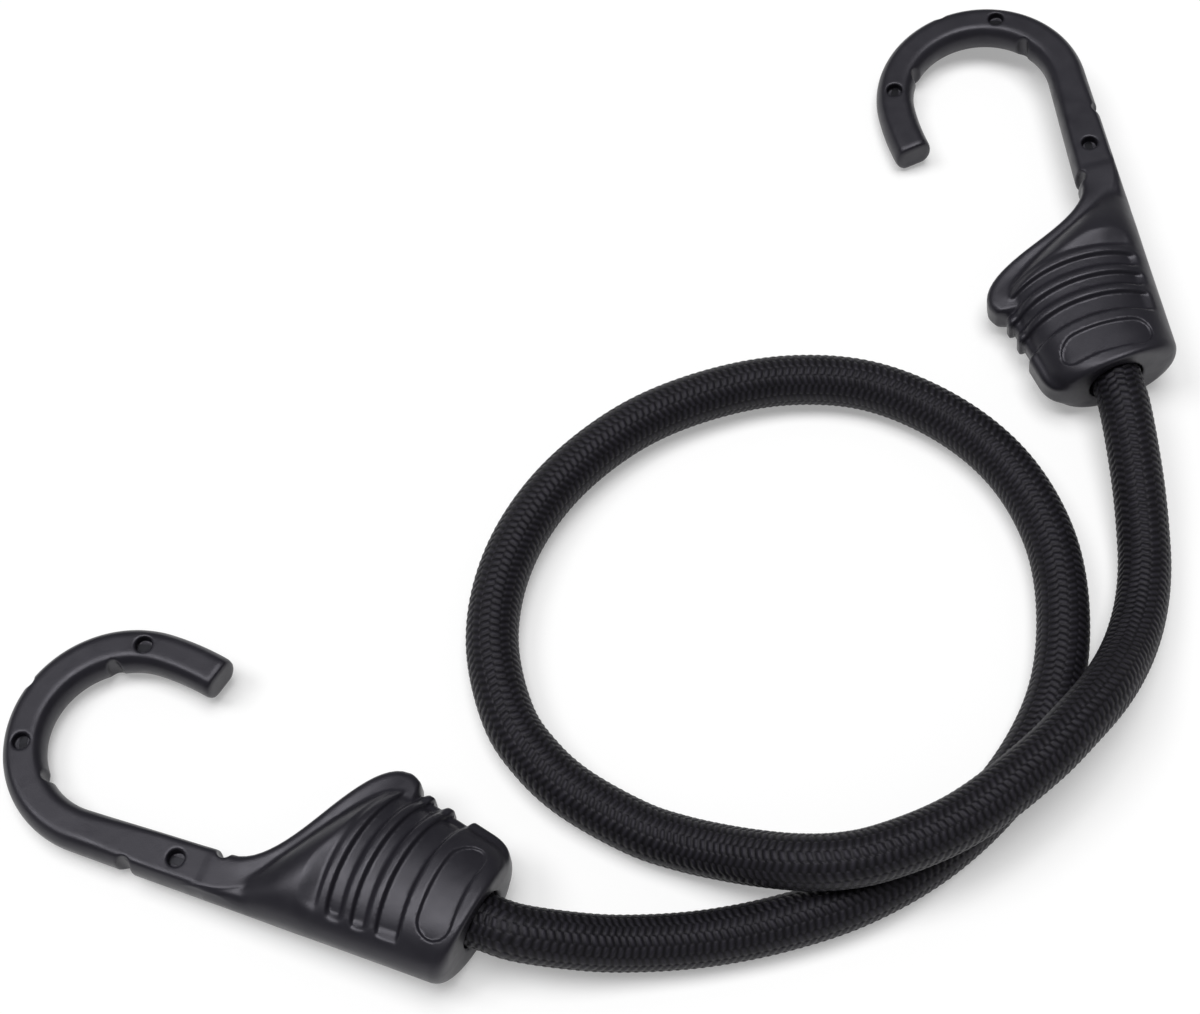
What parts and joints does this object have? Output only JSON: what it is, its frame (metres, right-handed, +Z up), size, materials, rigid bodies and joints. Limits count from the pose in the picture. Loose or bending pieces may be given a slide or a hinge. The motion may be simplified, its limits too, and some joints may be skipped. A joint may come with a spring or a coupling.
{
  "type": "bungee cord",
  "caption": "Elastic braided cord lying in a loose loop, with a moulded plastic hook on each end for strapping a load to a rail or bar.",
  "frame": {"origin": "bottom centre of the box round the two hooks, on the floor that the part lies on", "axes": "+Z up from the floor, +X along the longer side of the box round the hooks, towards hook A"},
  "size_m": [0.1892, 0.1826, 0.0176],
  "materials": {
    "jacket": "matte black braid",
    "rubber": "matte natural rubber",
    "crimp_steel": "zinc plated",
    "hook_plastic": "satin moulded",
    "wire_steel": "drawn wire"
  },
  "bodies": {
    "cord": {"jacket_lead_a": "jacket", "jacket_loop": "jacket", "jacket_lead_b": "jacket", "rubber_lead_a": "rubber", "rubber_loop": "rubber", "rubber_lead_b": "rubber"},
    "end_a": {"crimp_a": "crimp_steel", "cord_end_a": "jacket"},
    "hook_a": {"hook_a": "hook_plastic", "hook_core_a": "wire_steel"},
    "end_b": {"crimp_b": "crimp_steel", "cord_end_b": "jacket"},
    "hook_b": {"hook_b": "hook_plastic", "hook_core_b": "wire_steel"}
  },
  "joints": [
    {"name": "stretch_a", "type": "slide", "parent": "cord", "child": "end_a", "axis": [-0.1329, 0.991, -0.0175], "range_m": [0, 0.04], "stiffness_N_per_m": 2000, "deforming": ["jacket_lead_a", "rubber_lead_a"]},
    {"name": "swivel_a", "type": "hinge", "parent": "end_a", "child": "hook_a", "pos_m": [0.0845, 0.00966, 0.00813], "axis": [-0.1329, 0.991, -0.0175], "range_deg": [-180, 180], "stiffness_Nm_per_rad": 0.02},
    {"name": "stretch_b", "type": "slide", "parent": "cord", "child": "end_b", "axis": [-0.9381, 0.3394, -0.0698], "range_m": [0, 0.04], "stiffness_N_per_m": 2000, "deforming": ["jacket_lead_b", "rubber_lead_b"]},
    {"name": "swivel_b", "type": "hinge", "parent": "end_b", "child": "hook_b", "pos_m": [-0.01822, -0.08267, 0.00874], "axis": [-0.9381, 0.3394, -0.0698], "range_deg": [-180, 180], "stiffness_Nm_per_rad": 0.02}
  ]
}
